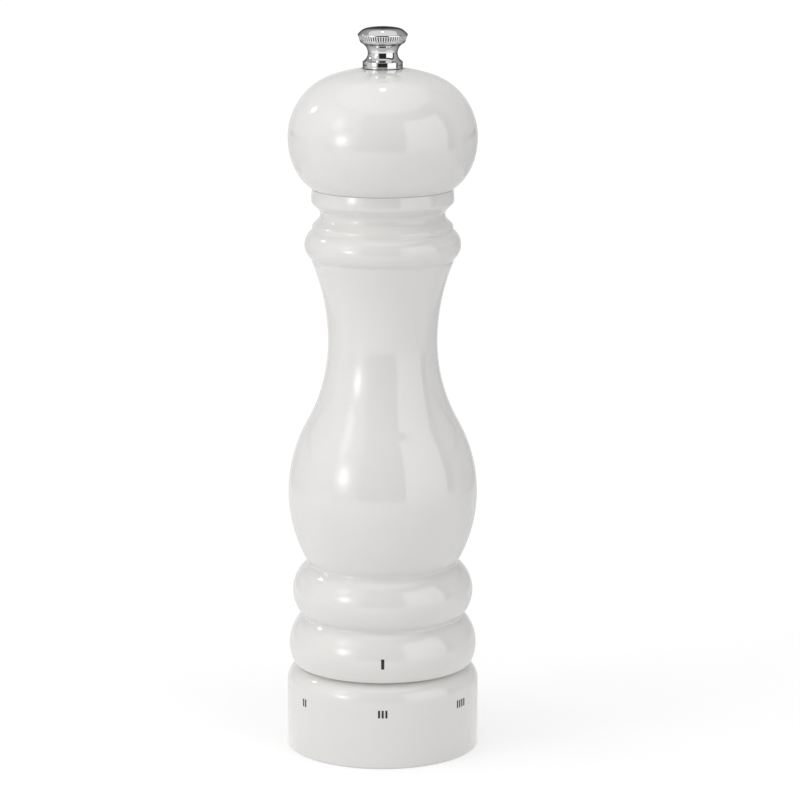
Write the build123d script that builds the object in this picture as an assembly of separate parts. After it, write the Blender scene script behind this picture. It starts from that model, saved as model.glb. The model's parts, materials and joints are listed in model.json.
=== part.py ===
from build123d import *

import os
from collections import namedtuple
from math import atan2, cos, degrees, hypot, pi, radians, remainder, sin, sqrt

# A table pepper mill of turned and lacquered wood, about 22 cm tall, with a conical steel grinder.
# The head turns the grinder, a round knob holds the head on, and the ring at the foot sets the grind.
# Millimetres, +Z up. The mill stands on Z = 0 with its axis on Z, and its pointer mark faces -Y.

Screw = namedtuple("Screw", "shank head head_height length")

# Setting ring, the turned foot
ring_radius = 29.5
ring_height = 26.1
ring_shoulder = 6.0
ring_top_flat = 0.8
ring_foot_round = 0.6
ring_lip_height = 2.0
ring_lip_width = 1.8
ring_gap = 0.3

# Body, heights from its own foot or down from its own top
body_height = 146.8
body_edge = 0.3
foot_bead_radius = 28.8
foot_bead_rise = 5.7
foot_bead_curve = 12.55
upper_bead_radius = 27.7
upper_bead_rise = 22.5
upper_bead_curve = 10.6
belly_radius = 28.9
belly_rise = 53.5
belly_curve = 43.7
neck_radius = 16.64
neck_drop = 46.55
neck_top_radius = 21.5
neck_lip = 0.7
neck_ring_radius = 23.7
neck_ring_drop = 16.9
neck_ring_curve = 5.4
band_radius = 21.25
cove_radius = 18.9
cove_drop = 7.7
cove_curve = 2.6
collar_radius = 21.55
collar_top_radius = 21.25

# Head, heights from its own rim
head_gap = 0.3
head_radius = 28.6
head_rim_radius = 21.6
head_widest_rise = 15.55
head_height = 36.6
crown_curve = 48.7
cheek_curve = 23.05
cheek_angle = 20.0
spigot_length = 9.2
head_neck_height = 12.0

# Knob, heights from its own underside
knob_seat_depth = 0.8
knob_flange_radius = 6.0
knob_waist_radius = 4.46
knob_waist_rise = 4.5
knob_low_curve = 2.8
knob_high_curve = 3.25
knob_chin_radius = 6.45
knob_cheek_radius = 6.85
knob_cheek_rise = 8.0
knob_rim_radius = 7.5
knob_rim_rise = 9.85
knob_rim_height = 0.3
knob_step_radius = 6.7
knob_step_rise = 10.95
knob_shoulder_radius = 4.6
knob_shoulder_rise = 12.0
knob_height = 12.4
knob_edge = 0.25
knob_skirt_gap = 0.3
insert_wall = 1.0
insert_roof = 2.7
washer_skirt = 0.95
washer_thickness = 0.8
washer_stand = 0.2

# Drive shaft and its thread
shaft_width = 6.0
stud_radius = 2.45
stud_reach = 7.8
journal_shave = 0.05
shaft_tap_depth = 9.0

# Hollow of the body
reservoir_radius = 12.5
socket_radius = 14.0
socket_depth = 10.0

# Grind settings: even steps of the ring, and the lead of its thread
settings = 6
rest_setting = 3
setting_step = 54.0
thread_lead = 2.4
thread_depth = 1.0
thread_width = 0.9
thread_slope = 0.15
thread_turns = 2.5

# Grinder, heights from the underside of the stator at rest
outlet_depth = 5.0
stator_radius = 15.0
stator_height = 14.5
stator_rim = 1.158
stator_mouth_wall = 0.5
stator_flange_width = 2.6
stator_flange_thickness = 1.8
stator_teeth = 30
stator_coarse_teeth = 10
tooth_depth = 0.8
coarse_tooth_depth = 1.3
tooth_lean = 0.7
rotor_lift = 0.4
rotor_fine_height = 7.0
rotor_coarse_height = 8.0
rotor_slope = 0.35
rotor_teeth = 28
rotor_blades = 7
rotor_wall = 0.9
rotor_top_radius = 7.6
rotor_twist = 14.0
blade_twist = 40.0
finest_gap = 0.15
carrier_height = 8.0
carrier_wall = 4.1

# Housing of the grinder, held in the foot of the body
housing_wall = 4.5
housing_neck_wall = 3.1
housing_height = 12.6
flange_width = 4.2
flange_thickness = 2.5
key_plate_thickness = 1.2
key_clearance = 0.4
key_width = 5.0
key_thickness = 1.2
keys = 3
key_foot_gap = 0.45
liner_wall = 2.05
liner_land_height = 4.2
liner_stand = 0.1

# Bridge, bush and thrust spring
bridge_side_wall = 2.0
bridge_thickness = 2.0
bridge_drop = 3.0
bridge_inset = 0.5
bush_wall = 1.5
bush_flange_wall = 3.2
bush_flange_thickness = 1.0
bush_tail = 1.0
spring_wire = 0.5
spring_turns = 5
spring_seat_wall = 2.4
spring_seat_thickness = 0.8

# Click spring and turning stop between the housing and the ring
click_angle = 90.0
click_inset = 2.4
click_length = 15.0
click_width = 2.4
click_thickness = 0.4
click_pocket_depth = 1.4
click_dip = 0.45
click_half_width = 1.3
notch_depth = 0.7
notch_half_width = 1.6
stop_inset = 1.2
stop_pin_radius = 0.6
stop_height = 0.9

# Screws
housing_screw = Screw(1.1, 1.7, 1.2, 9.0)
housing_screws = 3
housing_screw_inset = 1.8
bridge_screw = Screw(0.9, 1.7, 0.9, 6.0)
key_plate_screw = Screw(0.8, 1.45, 0.7, 5.5)
stator_screw = Screw(0.8, 1.3, 0.8, 6.0)
stator_screw_inset = 1.3
rotor_screw = Screw(1.45, 2.75, 1.5, 8.0)
rotor_washer_wall = 2.9
rotor_washer_thickness = 0.8
drive_plate_screw = Screw(1.0, 1.7, 1.0, 8.0)
drive_plate_screw_radius = 7.0
drive_plate_screws = 2
drive_plate_radius = 9.4
drive_plate_thickness = 2.0
click_screw = Screw(0.8, 1.15, 0.5, 5.0)
screw_slot = 0.5
screw_slot_depth = 0.35

# Clearances
glue_clearance = 0.05
running_clearance = 0.07
free_clearance = 0.25
square_clearance = 0.15
sleeve_clearance = 0.3
thread_clearance = 0.35

# Heights that follow from the sizes above
body_foot = ring_height + ring_gap
body_top = body_foot + body_height
head_rim = body_top + head_gap
head_top = head_rim + head_height
knob_seat = head_top - knob_seat_depth
knob_foot = knob_seat + washer_stand
socket_floor = body_top - socket_depth
spigot_foot = head_rim - spigot_length
housing_top = body_foot + housing_height
bridge_floor = housing_top - bridge_drop
bridge_top = bridge_floor + bridge_thickness
bush_top = bridge_top + bush_flange_thickness
liner_top = ring_height - liner_stand
liner_land = liner_top - liner_land_height
housing_foot = liner_land - ring_gap
key_plate_foot = housing_foot - key_plate_thickness
stator_foot = outlet_depth
carrier_foot = stator_foot + stator_flange_thickness
carrier_top = carrier_foot + carrier_height
rotor_foot = stator_foot + rotor_lift
rotor_waist = rotor_foot + rotor_fine_height
rotor_top = rotor_waist + rotor_coarse_height
spring_foot = rotor_top + spring_seat_thickness

# Turning range of the ring and the travel that its thread gives the stator
turn_to_finest = (rest_setting - 1) * setting_step
turn_to_coarsest = (settings - rest_setting) * setting_step
drop_to_finest = thread_lead * turn_to_finest / 360
lift_to_coarsest = thread_lead * turn_to_coarsest / 360
stop_angle = click_angle - turn_to_finest - (360 - turn_to_finest - turn_to_coarsest) / 2

# Radii that follow from the sizes above
shaft_corner = shaft_width / sqrt(2)
journal_radius = shaft_width / 2 - journal_shave
square_hole = shaft_width + 2 * square_clearance
shaft_bore = shaft_corner + free_clearance
bush_bore = journal_radius + running_clearance
bush_radius = bush_bore + bush_wall
bridge_width = 2 * (bush_radius + glue_clearance + bridge_side_wall)
spring_radius = bush_radius + free_clearance + spring_wire
insert_bore = stud_radius + free_clearance / 2
insert_radius = insert_bore + insert_wall
stud_bore = stud_radius + 2 * free_clearance
washer_radius = knob_flange_radius - washer_skirt
stator_flange_radius = stator_radius + stator_flange_width
stator_screw_radius = stator_radius + stator_screw_inset
stator_mouth_radius = stator_radius - stator_mouth_wall - coarse_tooth_depth
rotor_flare = rotor_slope * (drop_to_finest + rotor_lift)
rotor_radius = stator_radius - stator_rim - tooth_depth - finest_gap - rotor_flare
carrier_bore = stator_radius + glue_clearance
carrier_radius = carrier_bore + carrier_wall
thread_crest = carrier_radius + thread_depth
liner_bore = thread_crest + thread_clearance
liner_radius = liner_bore + liner_wall
housing_bore = stator_radius + sleeve_clearance
housing_neck_radius = housing_bore + housing_neck_wall
housing_radius = housing_bore + housing_wall
flange_radius = housing_radius + flange_width
key_plate_hole = stator_radius + key_clearance
key_plate_radius = liner_bore - sleeve_clearance
key_plate_screw_radius = housing_bore + housing_neck_wall / 2
housing_screw_radius = flange_radius - housing_screw_inset
click_radius = housing_neck_radius + click_inset
stop_radius = housing_neck_radius + stop_inset


class Outline:
    """A closed outline in radius and height that is turned about the axis."""

    def __init__(self, radius, height):
        self.first = (radius, height)
        self.last = self.first
        self.edges = []

    def line(self, radius, height):
        self.edges.append(Line(on_plane(self.last), on_plane((radius, height))))
        self.last = (radius, height)
        return self

    def lines(self, *spots):
        for spot in spots:
            self.line(*spot)
        return self

    def arc(self, centre, spot):
        start = atan2(self.last[1] - centre[1], self.last[0] - centre[0])
        end = atan2(spot[1] - centre[1], spot[0] - centre[0])
        middle = start + remainder(end - start, 2 * pi) / 2
        size = hypot(spot[0] - centre[0], spot[1] - centre[1])
        halfway = (centre[0] + size * cos(middle), centre[1] + size * sin(middle))
        self.edges.append(ThreePointArc(on_plane(self.last), on_plane(halfway), on_plane(spot)))
        self.last = spot
        return self

    def turn(self, angle=360):
        self.line(*self.first)
        return revolve(Face(Wire(self.edges)), Axis.Z, angle)


class Swell:
    """A round swelling of an outline: its widest radius, the height of that, and its curve."""

    def __init__(self, radius, height, curve):
        self.curve = curve
        self.centre = (radius - curve, height)

    def radius_at(self, height):
        return self.centre[0] + sqrt(self.curve ** 2 - (height - self.centre[1]) ** 2)

    def reach(self, radius):
        return sqrt(self.curve ** 2 - (radius - self.centre[0]) ** 2)

    def crease(self, upper):
        """Outer meeting point with the swelling above it."""
        across = upper.centre[0] - self.centre[0]
        rise = upper.centre[1] - self.centre[1]
        span = hypot(across, rise)
        along = (self.curve ** 2 - upper.curve ** 2 + span ** 2) / (2 * span)
        aside = sqrt(self.curve ** 2 - along ** 2)
        radius = self.centre[0] + (along * across + aside * rise) / span
        height = self.centre[1] + (along * rise - aside * across) / span
        return (radius, height)


def on_plane(spot):
    return Vector(spot[0], 0, spot[1])


def tube(inner, outer, foot, top):
    """A plain round tube between two heights."""
    return Outline(inner, foot).lines((outer, foot), (outer, top), (inner, top)).turn()


def rod(radius, foot, top):
    return tube(0, radius, foot, top)


def square_bar(width, foot, top):
    return Pos(0, 0, (foot + top) / 2) * Box(width, width, top - foot)


def around(radius, count, start, piece):
    """Copies of a piece, evenly spaced on a circle about the axis."""
    return [place * piece for place in PolarLocations(radius, count, start)]


def flat_screw(size):
    """A countersunk screw that points up, with the face of its head at height 0."""
    tip = size.length - size.shank
    outline = Outline(0, 0).lines((size.head, 0), (size.shank, size.head_height))
    screw = outline.lines((size.shank, tip), (0, size.length)).turn()
    return screw - screw_cross(size)


def pan_screw(size):
    """A round-headed screw that points up, with its head below height 0."""
    tip = size.length - size.shank
    outline = Outline(0, -size.head_height).line(size.head - screw_slot_depth, -size.head_height)
    outline.lines((size.head, screw_slot_depth - size.head_height), (size.head, 0), (size.shank, 0))
    screw = outline.lines((size.shank, tip), (0, size.length)).turn()
    return screw - Pos(0, 0, -size.head_height) * screw_cross(size)


def screw_cross(size):
    bar = Box(size.head + screw_slot, screw_slot, 2 * screw_slot_depth)
    return bar + Rot(0, 0, 90) * bar


def flat_hole(size):
    """The hole of a countersunk screw, open below its head."""
    head = size.head + glue_clearance
    shank = size.shank + glue_clearance
    outline = Outline(0, -size.head_height).lines((head, -size.head_height), (head, 0))
    return outline.lines((shank, size.head_height), (shank, size.length), (0, size.length)).turn()


def pan_hole(size):
    return rod(size.shank + glue_clearance, -size.length, size.length + glue_clearance)


def toothed(count, tip, root, height, turn=0.0, lean=0.5):
    """A toothed section: a closed polygon that swaps between two radii."""
    pitch = 2 * pi / count
    spots = []
    for tooth in range(count):
        at_tip = radians(turn) + pitch * tooth
        at_root = at_tip + pitch * lean
        spots.append((tip * cos(at_tip), tip * sin(at_tip)))
        spots.append((root * cos(at_root), root * sin(at_root)))
    return Pos(0, 0, height) * make_face(Polyline(*spots, close=True))


def thread_ridge(root, crest, middle):
    """One right-hand thread ridge, its middle at the given height, sunk a little into its root."""
    slope = thread_slope if crest > root else -thread_slope
    sunk = root - slope
    foot = middle - thread_lead * thread_turns / 2
    half = thread_width / 2
    narrow = half - thread_slope
    low_side = [(sunk, 0, foot - half), (crest, 0, foot - narrow)]
    high_side = [(crest, 0, foot + narrow), (sunk, 0, foot + half)]
    section = make_face(Polyline(*low_side, *high_side, close=True))
    path = Helix(thread_lead, thread_lead * thread_turns, root, center=(0, 0, foot))
    return sweep(section, path, is_frenet=True)


def body_shell():
    foot = Swell(foot_bead_radius, body_foot + foot_bead_rise, foot_bead_curve)
    upper = Swell(upper_bead_radius, body_foot + upper_bead_rise, upper_bead_curve)
    belly = Swell(belly_radius, body_foot + belly_rise, belly_curve)
    ring = Swell(neck_ring_radius, body_top - neck_ring_drop, neck_ring_curve)
    neck_height = body_top - neck_drop

    # The hollow of the neck meets the belly in one smooth line
    inset = neck_radius - belly.centre[0]
    rise = neck_height - belly.centre[1]
    low_curve = (inset ** 2 + rise ** 2 - belly_curve ** 2) / (2 * (belly_curve - inset))
    low_centre = (neck_radius + low_curve, neck_height)
    share = belly_curve / (belly_curve + low_curve)
    smooth = tuple(a + share * (b - a) for a, b in zip(belly.centre, low_centre))

    ring_foot = ring.centre[1] - ring.reach(neck_top_radius)
    neck_top = ring_foot - neck_lip
    flare = neck_top_radius - neck_radius
    high_curve = (flare ** 2 + (neck_top - neck_height) ** 2) / (2 * flare)

    cove = (cove_radius + cove_curve, body_top - cove_drop)
    slant = cove_curve / sqrt(2)
    cove_foot = (cove[0] - slant, cove[1] - slant)
    cove_top = (cove[0] - slant, cove[1] + slant)
    band_top = (band_radius, cove_foot[1] - (band_radius - cove_foot[0]))
    collar_foot = (collar_radius, cove_top[1] + collar_radius - cove_top[0])

    outline = Outline(foot.radius_at(body_foot) - body_edge, body_foot)
    outline.line(foot.radius_at(body_foot + body_edge), body_foot + body_edge)
    outline.arc(foot.centre, foot.crease(upper))
    outline.arc(upper.centre, upper.crease(belly))
    outline.arc(belly.centre, smooth)
    outline.arc(low_centre, (neck_radius, neck_height))
    outline.arc((neck_radius + high_curve, neck_height), (neck_top_radius, neck_top))
    outline.line(neck_top_radius, ring_foot)
    outline.arc(ring.centre, (band_radius, ring.centre[1] + ring.reach(band_radius)))
    outline.lines(band_top, cove_foot)
    outline.arc(cove, cove_top)
    outline.line(*collar_foot)
    outline.lines((collar_top_radius, body_top - body_edge), (collar_top_radius - body_edge, body_top))
    outline.lines((socket_radius, body_top), (socket_radius, socket_floor))
    outline.line(reservoir_radius, socket_floor)
    pocket_top = housing_top + glue_clearance
    pocket_radius = housing_radius + glue_clearance
    outline.lines((reservoir_radius, pocket_top), (pocket_radius, pocket_top))
    recess_radius = flange_radius + glue_clearance
    recess_top = body_foot + flange_thickness
    outline.lines((pocket_radius, recess_top), (recess_radius, recess_top), (recess_radius, body_foot))
    shell = outline.turn() - housing_screw_places(flat_hole(housing_screw))
    return shell - click_screw_place(pan_hole(click_screw))


def housing_screw_places(piece):
    start = click_angle + 180 / housing_screws
    return around(housing_screw_radius, housing_screws, start, Pos(0, 0, body_foot) * piece)


def adjust_ring():
    bore = liner_radius + glue_clearance
    shoulder = min(ring_shoulder, ring_radius - bore - ring_top_flat)
    lip = bore - ring_lip_width
    outline = Outline(lip, 0).line(ring_radius - ring_foot_round, 0)
    outline.arc((ring_radius - ring_foot_round, ring_foot_round), (ring_radius, ring_foot_round))
    outline.line(ring_radius, ring_height - shoulder)
    outline.arc((ring_radius - shoulder, ring_height - shoulder), (ring_radius - shoulder, ring_height))
    outline.lines((bore, ring_height), (bore, ring_lip_height), (lip, ring_lip_height))
    return outline.turn()


def ring_liner():
    land = housing_neck_radius + running_clearance
    outline = Outline(liner_bore, ring_lip_height).line(liner_radius, ring_lip_height)
    outline.lines((liner_radius, liner_top), (land, liner_top), (land, liner_land))
    liner = outline.line(liner_bore, liner_land).turn()
    pin = rod(stop_pin_radius, liner_top - glue_clearance, liner_top + stop_height)
    liner += Rot(0, 0, stop_angle) * Pos(stop_radius, 0, 0) * pin
    for setting in range(1, settings + 1):
        angle = click_angle - (rest_setting - setting) * setting_step
        liner -= Rot(0, 0, angle) * click_notch()
    ridge_middle = (carrier_foot + carrier_top + thread_lead) / 2
    return liner + thread_ridge(liner_bore, liner_bore - thread_depth, ridge_middle)


def click_notch():
    """A shallow V across the top of the liner, along +X."""
    spots = [(-notch_half_width, liner_top), (0, liner_top - notch_depth), (notch_half_width, liner_top)]
    section = make_face(Polyline(*[(0, y, z) for y, z in spots], close=True))
    return extrude(section, amount=2 * liner_radius, dir=(1, 0, 0))


def stator_carrier():
    carrier = tube(carrier_bore, carrier_radius, carrier_foot, carrier_top)
    carrier += thread_ridge(carrier_radius, thread_crest, (carrier_foot + carrier_top) / 2)
    slot = key_bar(key_width + 2 * free_clearance, free_clearance, carrier_foot, carrier_top)
    carrier -= around(0, keys, click_angle, slot)
    return carrier - stator_screw_places(flat_hole(stator_screw))


def key_bar(width, extra, foot, top):
    """An upright key beside the stator, along +X, grown by a clearance."""
    inner = key_plate_hole - extra
    outer = key_plate_hole + key_thickness + extra
    return Pos((inner + outer) / 2, 0, (foot + top) / 2) * Box(outer - inner, width, top - foot)


def stator_screw_places(piece):
    return around(stator_screw_radius, keys, click_angle + 180 / keys, Pos(0, 0, stator_foot) * piece)


def stator_tip(height):
    """Radius of the stator's fine teeth: the rotor's cone, set off by the gap at rest."""
    finest = rotor_radius - rotor_slope * (height - drop_to_finest - rotor_foot)
    return finest + finest_gap


def stator():
    top = stator_foot + stator_height
    throat = rotor_waist + drop_to_finest
    outline = Outline(0, stator_foot).line(stator_flange_radius, stator_foot)
    outline.lines((stator_flange_radius, carrier_foot), (stator_radius, carrier_foot))
    ring = outline.lines((stator_radius, top), (0, top)).turn()
    low_tip = stator_tip(stator_foot)
    high_tip = stator_tip(throat)
    low = toothed(stator_teeth, low_tip, low_tip + tooth_depth, stator_foot)
    high = toothed(stator_teeth, high_tip, high_tip + tooth_depth, throat)
    throat_cut = toothed(stator_coarse_teeth, high_tip, high_tip + tooth_depth, throat)
    mouth = toothed(stator_coarse_teeth, stator_mouth_radius, stator_mouth_radius + coarse_tooth_depth, top)
    ring -= loft([low, high], ruled=True)
    ring -= loft([throat_cut, mouth], ruled=True)
    return ring - stator_screw_places(flat_hole(stator_screw))


def rotor():
    waist_tip = rotor_radius - rotor_slope * rotor_fine_height
    waist_root = waist_tip - tooth_depth
    top_root = shaft_corner + rotor_wall
    low = toothed(rotor_teeth, rotor_radius, rotor_radius - tooth_depth, rotor_foot, lean=tooth_lean)
    waist = toothed(rotor_teeth, waist_tip, waist_root, rotor_waist, rotor_twist, lean=tooth_lean)
    blades_low = toothed(rotor_blades, waist_root, waist_root - coarse_tooth_depth, rotor_waist)
    blades_top = toothed(rotor_blades, rotor_top_radius, top_root, rotor_top, blade_twist)
    cone = loft([low, waist], ruled=True) + loft([blades_low, blades_top], ruled=True)
    cone -= square_bar(shaft_width + 2 * glue_clearance, rotor_foot, rotor_top)
    washer_radius_below = rotor_screw.shank + rotor_washer_wall + free_clearance
    return cone - rod(washer_radius_below, rotor_foot, rotor_washer_foot() + rotor_washer_thickness)


def rotor_washer_foot():
    """Height of the washer: the screw head below it stays inside the rotor."""
    return rotor_foot + rotor_lift + rotor_screw.head_height


def rotor_washer():
    foot = rotor_washer_foot()
    bore = rotor_screw.shank + glue_clearance
    return tube(bore, rotor_screw.shank + rotor_washer_wall, foot, foot + rotor_washer_thickness)


def rotor_fixing():
    return Pos(0, 0, rotor_washer_foot()) * pan_screw(rotor_screw)


def drive_shaft():
    foot = rotor_washer_foot() + rotor_washer_thickness + free_clearance
    journal_foot = bridge_floor - bush_tail - free_clearance
    shoulder = bush_top + running_clearance
    stud_foot = knob_seat - head_neck_height
    shaft = square_bar(shaft_width, foot, journal_foot)
    shaft += rod(journal_radius, journal_foot, shoulder)
    shaft += square_bar(shaft_width, shoulder, stud_foot)
    stud_top = knob_foot + stud_reach
    tip = stud_radius - body_edge
    stud = Outline(0, stud_foot).lines((stud_radius, stud_foot), (stud_radius, stud_top - body_edge))
    shaft += stud.lines((tip, stud_top), (0, stud_top)).turn()
    return shaft - rod(rotor_screw.shank + glue_clearance, foot, foot + shaft_tap_depth)


def spring_seat():
    disc = rod(shaft_corner + spring_seat_wall, rotor_top, spring_foot)
    return disc - square_bar(shaft_width + 2 * glue_clearance, rotor_top, spring_foot)


def thrust_spring():
    """A coil of quarter turns, each of two arcs that share the helix's own directions."""
    foot = spring_foot + spring_wire
    rise = bridge_floor - free_clearance - spring_wire - foot
    steps = 4 * spring_turns
    lead = rise / (2 * pi * spring_turns)
    edges = []
    for step in range(steps):
        edges += two_arcs(*coil_spot(foot, lead, step), *coil_spot(foot, lead, step + 1))
    start, ahead = coil_spot(foot, lead, 0)
    section = Plane(start, z_dir=ahead) * Circle(spring_wire)
    print("thrust spring, gap between turns", round(rise / spring_turns - 2 * spring_wire, 2))
    return sweep(section, Wire(edges))


def coil_spot(foot, lead, step):
    """Place and direction of the coil after a number of quarter turns."""
    angle = step * pi / 2
    spot = Vector(spring_radius * cos(angle), spring_radius * sin(angle), foot + lead * angle)
    ahead = Vector(-spring_radius * sin(angle), spring_radius * cos(angle), lead)
    return spot, ahead.normalized()


def two_arcs(start, start_ahead, end, end_ahead):
    chord = end - start
    both = start_ahead + end_ahead
    spread = 2 * (1 - start_ahead.dot(end_ahead))
    across = chord.dot(both)
    reach = (sqrt(across ** 2 + spread * chord.dot(chord)) - across) / spread
    middle = (start + end + (start_ahead - end_ahead) * reach) * 0.5
    ahead = chord - both * reach
    return [
        TangentArc(start, middle, tangent=start_ahead),
        TangentArc(middle, end, tangent=ahead),
    ]


def mechanism_housing():
    outline = Outline(housing_bore, housing_foot).line(housing_neck_radius, housing_foot)
    outline.lines((housing_neck_radius, body_foot), (flange_radius, body_foot))
    flange_top = body_foot + flange_thickness
    outline.lines((flange_radius, flange_top), (housing_radius, flange_top), (housing_radius, housing_top))
    housing = outline.line(housing_bore, housing_top).turn()
    slot_width = bridge_width + 2 * square_clearance
    slot = Pos(0, 0, (bridge_floor + housing_top) / 2)
    housing -= slot * Box(3 * housing_radius, slot_width, housing_top - bridge_floor)
    housing -= bridge_screw_places(pan_hole(bridge_screw))
    housing -= housing_screw_places(flat_hole(housing_screw))
    housing -= key_plate_screw_places(flat_hole(key_plate_screw))
    housing -= stop_groove()
    pocket = Pos(0, click_radius, body_foot)
    room = 2 * free_clearance
    housing -= pocket * Box(click_length + 2 * room, click_width + room, 2 * click_pocket_depth)
    return housing - click_screw_place(pan_hole(click_screw))


def stop_groove():
    """The round groove that the liner's stop pin runs in, as long as the settings allow."""
    half = stop_pin_radius + free_clearance
    spare = degrees(half / stop_radius)
    inner = stop_radius - half
    outer = stop_radius + half
    roof = liner_top + stop_height + free_clearance
    sweep_angle = turn_to_coarsest + turn_to_finest + 2 * spare
    groove = Outline(inner, liner_top).lines((outer, liner_top), (outer, roof), (inner, roof))
    return Rot(0, 0, stop_angle - turn_to_coarsest - spare) * groove.turn(sweep_angle)


def bridge_reach():
    return housing_radius - bridge_inset


def bridge_screw_places(piece):
    radius = (housing_bore + bridge_reach()) / 2
    return around(radius, 2, 0, Pos(0, 0, bridge_top) * Rot(180, 0, 0) * piece)


def bridge():
    bar = Pos(0, 0, bridge_floor + bridge_thickness / 2)
    bar *= Box(2 * bridge_reach(), bridge_width, bridge_thickness)
    bar &= rod(bridge_reach(), bridge_floor, bridge_top)
    bar -= rod(bush_radius + glue_clearance, bridge_floor, bridge_top)
    return bar - bridge_screw_places(pan_hole(bridge_screw))


def shaft_bush():
    flange = bush_bore + bush_flange_wall
    outline = Outline(bush_bore, bridge_floor - bush_tail).line(bush_radius, bridge_floor - bush_tail)
    outline.lines((bush_radius, bridge_top), (flange, bridge_top), (flange, bush_top))
    return outline.line(bush_bore, bush_top).turn()


def key_plate_screw_places(piece):
    start = click_angle + 180 / keys
    return around(key_plate_screw_radius, keys, start, Pos(0, 0, key_plate_foot) * piece)


def key_plate():
    plate = tube(key_plate_hole, key_plate_radius, key_plate_foot, housing_foot)
    key_foot = carrier_foot + lift_to_coarsest + key_foot_gap
    plate += around(0, keys, click_angle, key_bar(key_width, 0, key_foot, housing_foot))
    return plate - key_plate_screw_places(flat_hole(key_plate_screw))


def click_screw_place(piece):
    head_foot = body_foot + click_pocket_depth - click_thickness
    across = click_length / 2 - click_screw.head - free_clearance
    return Pos(-across, click_radius, head_foot) * piece


def click_spring():
    """A leaf with one V bend that drops into the notches of the liner."""
    roof = body_foot + click_pocket_depth
    dip = liner_top - click_dip + click_thickness
    half = click_length / 2
    top_line = [
        (-half, roof),
        (-2 * click_half_width, roof),
        (-click_half_width / 4, dip),
        (click_half_width / 4, dip),
        (2 * click_half_width, roof - click_thickness / 2),
        (half, roof - click_thickness / 2),
    ]
    low_line = [(x, z - click_thickness) for x, z in reversed(top_line)]
    section = make_face(Polyline(*[(x, 0, z) for x, z in top_line + low_line], close=True))
    leaf = Pos(0, click_radius - click_width / 2, 0) * extrude(section, amount=click_width, dir=(0, 1, 0))
    return leaf - click_screw_place(pan_hole(click_screw))


def head_shell():
    widest = head_rim + head_widest_rise
    crown_centre = (0, head_top - crown_curve)
    rise = widest - crown_centre[1]
    side_curve = (crown_curve ** 2 - head_radius ** 2 - rise ** 2) / (2 * (crown_curve - head_radius))
    side_centre = (head_radius - side_curve, widest)
    share = crown_curve / (crown_curve - side_curve)
    smooth = (side_centre[0] * share, crown_centre[1] + rise * share)

    # Below the widest line, a flatter arc and then a rounder one that ends at the rim
    cheek_centre = (head_radius - cheek_curve, widest)
    way = (cos(radians(cheek_angle)), -sin(radians(cheek_angle)))
    chin = (cheek_centre[0] + cheek_curve * way[0], cheek_centre[1] + cheek_curve * way[1])
    drop = (chin[0] - head_rim_radius, chin[1] - head_rim)
    chin_curve = (drop[0] ** 2 + drop[1] ** 2) / (2 * (drop[0] * way[0] + drop[1] * way[1]))
    chin_centre = (chin[0] - chin_curve * way[0], chin[1] - chin_curve * way[1])

    spigot = socket_radius - free_clearance
    recess = drive_plate_radius + glue_clearance
    recess_top = spigot_foot + drive_plate_thickness
    ledge = knob_seat - head_neck_height
    spot_radius = knob_flange_radius + knob_skirt_gap
    spot_edge = crown_centre[1] + sqrt(crown_curve ** 2 - spot_radius ** 2)

    outline = Outline(recess, spigot_foot).line(spigot - body_edge, spigot_foot)
    outline.lines((spigot, spigot_foot + body_edge), (spigot, head_rim), (head_rim_radius, head_rim))
    outline.arc(chin_centre, chin)
    outline.arc(cheek_centre, (head_radius, widest))
    outline.arc(side_centre, smooth)
    outline.arc(crown_centre, (spot_radius, spot_edge))
    outline.lines((spot_radius, knob_seat), (stud_bore, knob_seat), (stud_bore, ledge))
    outline.lines((shaft_bore, ledge), (shaft_bore, recess_top), (recess, recess_top))
    return outline.turn() - drive_plate_screw_places(flat_hole(drive_plate_screw))


def drive_plate_screw_places(piece):
    return around(drive_plate_screw_radius, drive_plate_screws, 0, Pos(0, 0, spigot_foot) * piece)


def drive_plate():
    top = spigot_foot + drive_plate_thickness
    plate = rod(drive_plate_radius, spigot_foot, top) - square_bar(square_hole, spigot_foot, top)
    return plate - drive_plate_screw_places(flat_hole(drive_plate_screw))


def knob_washer():
    return tube(stud_bore, washer_radius, knob_seat, knob_seat + washer_thickness)


def knob_insert():
    roof = knob_foot + knob_height - insert_roof
    return tube(insert_bore, insert_radius, knob_seat + washer_thickness, roof)


def chord_radius(half_width, rise):
    return (half_width ** 2 + rise ** 2) / (2 * rise)


def tangent_centre(centre, joint, end):
    reach = hypot(joint[0] - centre[0], joint[1] - centre[1])
    inward = ((centre[0] - joint[0]) / reach, (centre[1] - joint[1]) / reach)
    across = (end[0] - joint[0], end[1] - joint[1])
    radius = hypot(*across) ** 2 / (2 * (across[0] * inward[0] + across[1] * inward[1]))
    return (joint[0] + radius * inward[0], joint[1] + radius * inward[1])


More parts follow.
